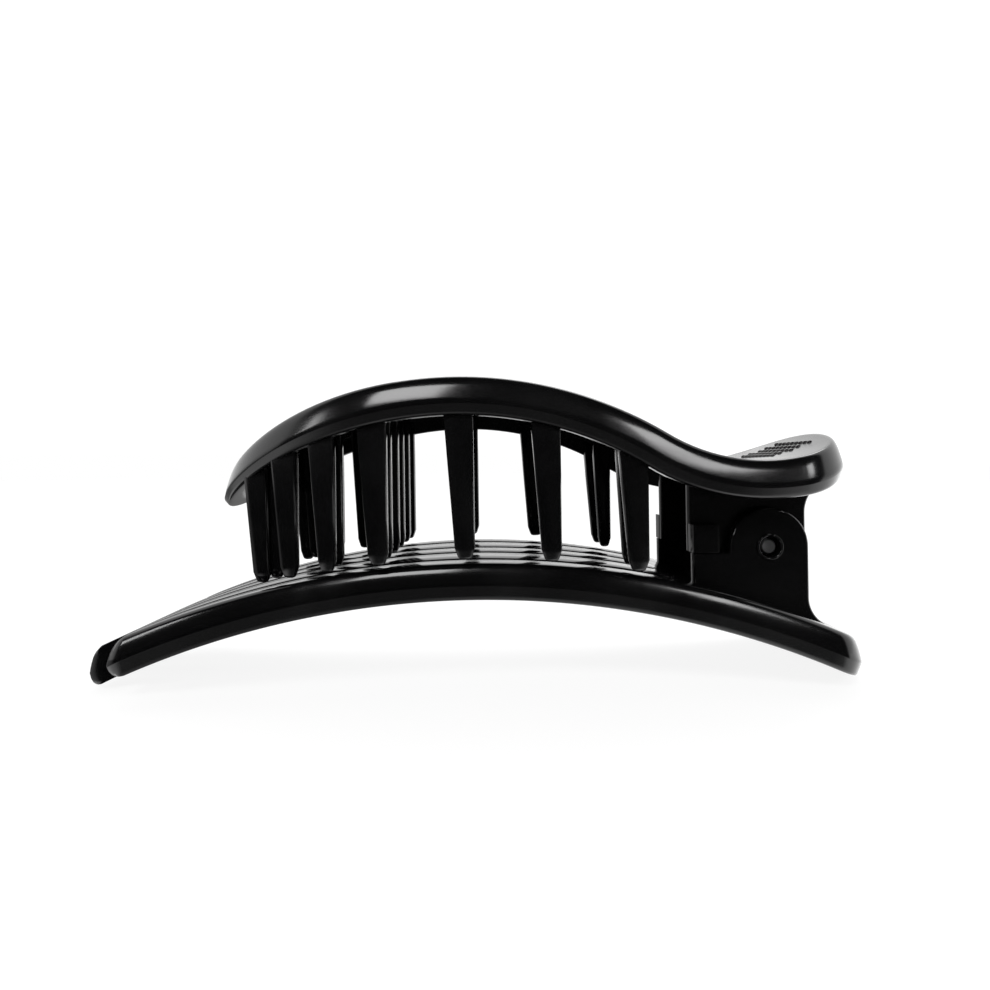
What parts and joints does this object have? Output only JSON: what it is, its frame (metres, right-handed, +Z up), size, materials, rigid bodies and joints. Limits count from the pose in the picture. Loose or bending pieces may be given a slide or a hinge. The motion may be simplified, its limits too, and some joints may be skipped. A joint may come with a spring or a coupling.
{
  "type": "sectioning clip",
  "caption": "Long hair sectioning clip: arched lower jaw of open prongs, shorter toothed upper jaw with a curled thumb pad, on a sprung hinge pin.",
  "frame": {"origin": "on the surface the closed clip stands on, under the middle of its length and width", "axes": "+X from the prong tips to the tail and thumb pad, +Y across the clip, +Z up"},
  "size_m": [0.13, 0.0426, 0.0498],
  "materials": {
    "black_plastic": "glossy moulded black",
    "pin_steel": "plain drawn steel, satin",
    "spring_steel": "drawn spring wire, satin"
  },
  "bodies": {
    "lower": {"lower_jaw": "black_plastic", "hinge_pin": "pin_steel", "torsion_spring": "spring_steel"},
    "upper": {"upper_jaw": "black_plastic"}
  },
  "joints": [
    {"name": "jaw_hinge", "type": "hinge", "parent": "lower", "child": "upper", "pos_m": [0.0485, 0, 0.02205], "axis": [0, 1, 0], "range_deg": [0, 50], "stiffness_Nm_per_rad": 0.08, "springref_deg": -45.84, "deforming": ["torsion_spring"]}
  ]
}
